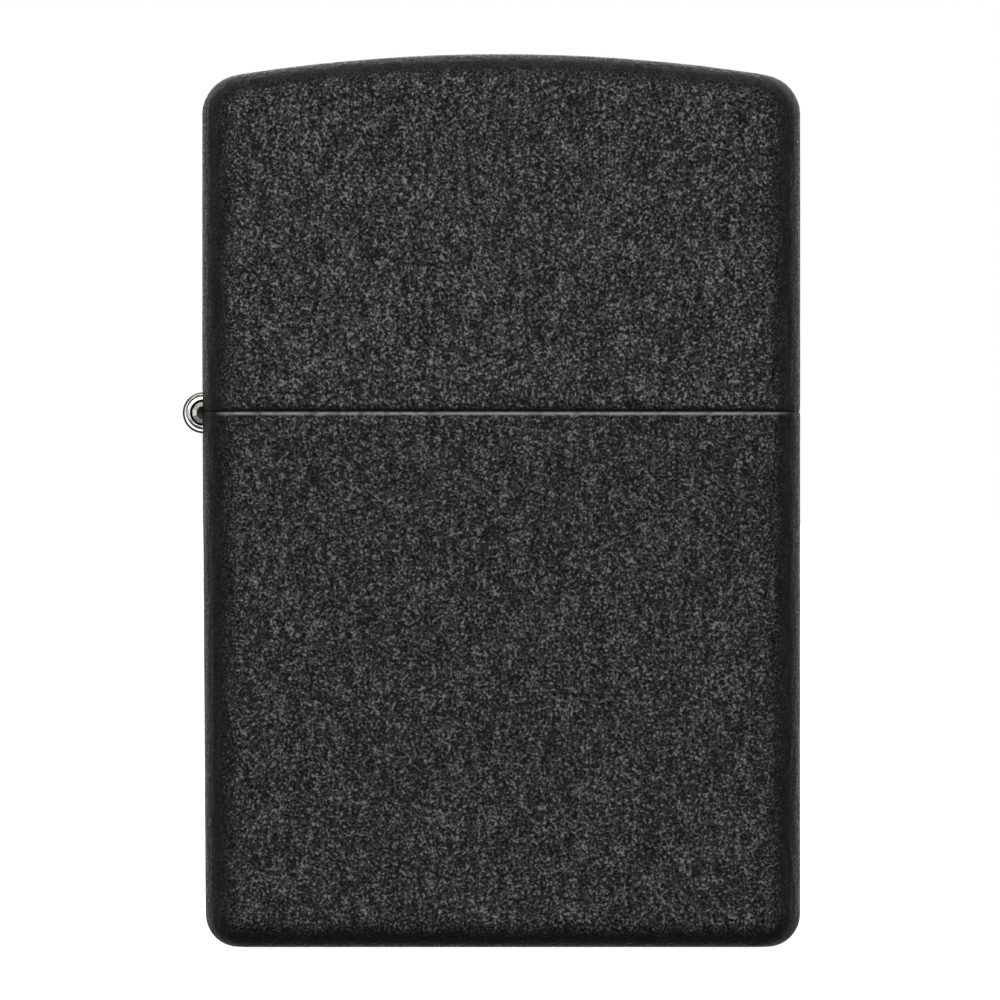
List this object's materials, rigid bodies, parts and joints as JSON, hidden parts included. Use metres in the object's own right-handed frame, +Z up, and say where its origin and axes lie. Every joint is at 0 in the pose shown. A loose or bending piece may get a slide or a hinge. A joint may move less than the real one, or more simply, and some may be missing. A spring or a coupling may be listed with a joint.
{
  "type": "lighter",
  "caption": "Windproof flip-top pocket lighter with a hinged lid, a slip-in insert, a perforated chimney and a striker wheel, in black crackle paint.",
  "frame": {"origin": "centre of the base's flat underside", "axes": "+Z up, from the base to the lid's crown; +X across the wide face, away from the hinge; -Y out of the front face"},
  "size_m": [0.0395, 0.0128, 0.057],
  "materials": {
    "black_crackle": "black crackle powder coat",
    "hinge_steel": "bright plated steel",
    "insert_steel": "satin stainless sheet",
    "wheel_steel": "dark hardened steel with cut teeth",
    "spring_steel": "bright spring steel",
    "brass": "turned brass",
    "flint_alloy": "matt dark grey alloy",
    "wick_cotton": "braided cotton, charred at its end",
    "cotton": "loose cotton wadding",
    "felt": "pressed off-white felt"
  },
  "bodies": {
    "base": {"case_base": "black_crackle", "hinge_leaf_base": "hinge_steel", "hinge_pin": "hinge_steel"},
    "lid": {"case_lid": "black_crackle", "hinge_leaf_lid": "hinge_steel"},
    "insert": {"insert_tank": "insert_steel", "chimney": "insert_steel", "wheel_rivet": "insert_steel", "cam_rivet": "insert_steel", "spring_rivet": "insert_steel", "cam_spring": "spring_steel", "flint_tube": "brass", "flint_spring": "spring_steel", "flint_screw": "brass", "wick": "wick_cotton", "packing_1": "cotton", "packing_2": "cotton", "packing_3": "cotton", "packing_4": "cotton", "packing_5": "cotton", "felt_pad": "felt"},
    "wheel": {"striker_wheel": "wheel_steel"},
    "cam": {"cam_lever": "insert_steel"},
    "flint_train": {"flint": "flint_alloy", "flint_follower": "brass"}
  },
  "joints": [
    {"name": "lid_hinge", "type": "hinge", "parent": "base", "child": "lid", "pos_m": [-0.01905, 0, 0.03412], "axis": [0, -1, 0], "range_deg": [0, 133]},
    {"name": "insert_lift", "type": "slide", "parent": "base", "child": "insert", "axis": [0, 0, 1], "range_m": [0, 0.004]},
    {"name": "wheel_spin", "type": "hinge", "parent": "insert", "child": "wheel", "pos_m": [0.0064, 0, 0.0459], "axis": [0, 1, 0], "continuous": true},
    {"name": "cam_pivot", "type": "hinge", "parent": "insert", "child": "cam", "pos_m": [-0.01, 0, 0.0374], "axis": [0, -1, 0], "range_deg": [0, 16]},
    {"name": "flint_feed", "type": "slide", "parent": "insert", "child": "flint_train", "axis": [0, 0, 1], "range_m": [-0.003, 0], "stiffness_N_per_m": 100, "springref_m": 0.01, "deforming": ["flint_spring"]}
  ],
  "couplings": [
    {"joint": "cam_pivot", "follows": "lid_hinge", "ratio": 0.12}
  ]
}
